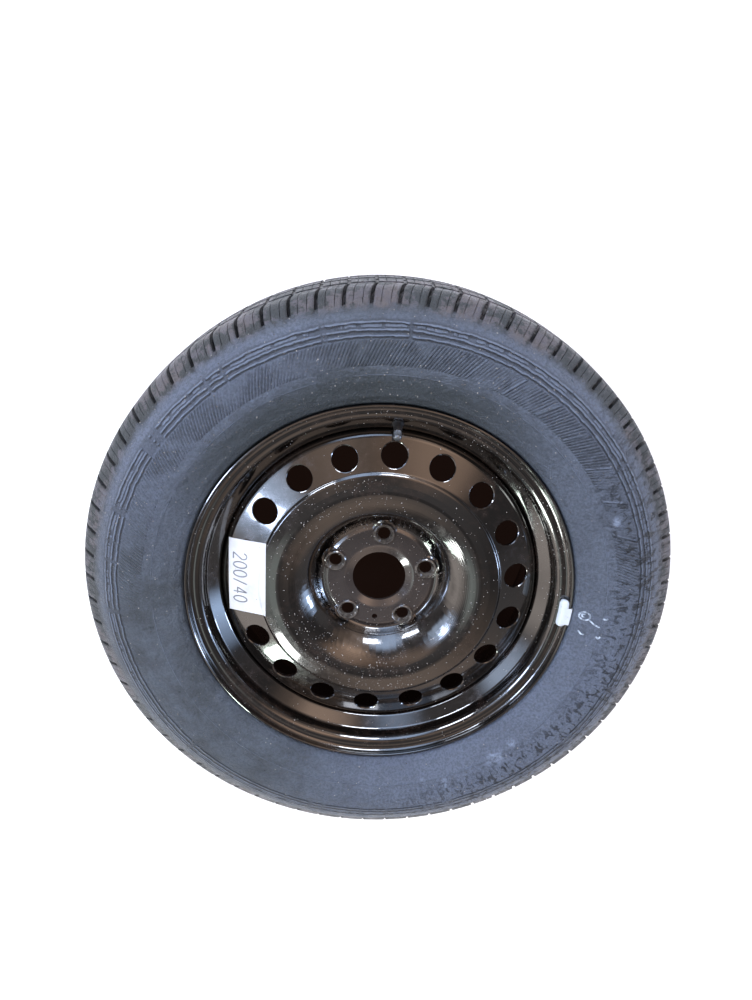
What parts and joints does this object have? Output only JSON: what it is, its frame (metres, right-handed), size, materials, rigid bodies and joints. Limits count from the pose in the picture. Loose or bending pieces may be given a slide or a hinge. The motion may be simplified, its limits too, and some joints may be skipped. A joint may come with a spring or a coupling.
{
  "type": "pressed steel disc wheel with tubeless tyre",
  "caption": "Spare wheel with a gloss black pressed steel disc, round vents and a used tubeless tyre, with a snap-in valve, a balance weight and a label",
  "frame": {"origin": "centre of the wheel on its axis, midway between the rim's two flanges", "axes": "+Z along the axis out of the outer face, +Y towards the picture's top, +X to its right"},
  "size_m": [0.7289, 0.729, 0.233],
  "materials": {
    "tyre_rubber": "dusty, matt",
    "black_paint": "gloss black",
    "valve_rubber": "matt",
    "brass": "turned",
    "gasket_red": "matt",
    "pin_steel": "plain",
    "cap_metal": "knurled, dull",
    "white_coat": "satin white",
    "label_paper": "coated paper"
  },
  "bodies": {
    "wheel": {"tyre": "tyre_rubber", "rim": "black_paint", "disc": "black_paint", "disc_welds": "black_paint", "valve_body": "valve_rubber", "valve_stem": "brass", "core_plug": "brass", "core_barrel": "brass", "barrel_gasket": "gasket_red", "core_spring": "pin_steel", "balance_weight": "white_coat", "weight_clip": "white_coat", "label": "label_paper"},
    "cap_carrier": {"cap_seal": "valve_rubber"},
    "cap": {"valve_cap": "cap_metal"},
    "pin": {"core_pin": "pin_steel", "pin_cup": "brass", "cup_gasket": "valve_rubber"}
  },
  "joints": [
    {"name": "cap_lift", "type": "slide", "parent": "wheel", "child": "cap_carrier", "axis": [-0.0654, -0.6227, 0.7797], "range_m": [0, 0.00397]},
    {"name": "cap_turn", "type": "hinge", "parent": "cap_carrier", "child": "cap", "pos_m": [0.02046, 0.19468, 0.07958], "axis": [-0.0654, -0.6227, 0.7797], "range_deg": [0, 1800]},
    {"name": "pin_press", "type": "slide", "parent": "wheel", "child": "pin", "axis": [0.0654, 0.6227, -0.7797], "range_m": [0, 0.0012], "stiffness_N_per_m": 500, "deforming": ["core_spring"]}
  ],
  "couplings": [
    {"joint": "cap_turn", "follows": "cap_lift", "rad_per_m": 7913.3}
  ]
}
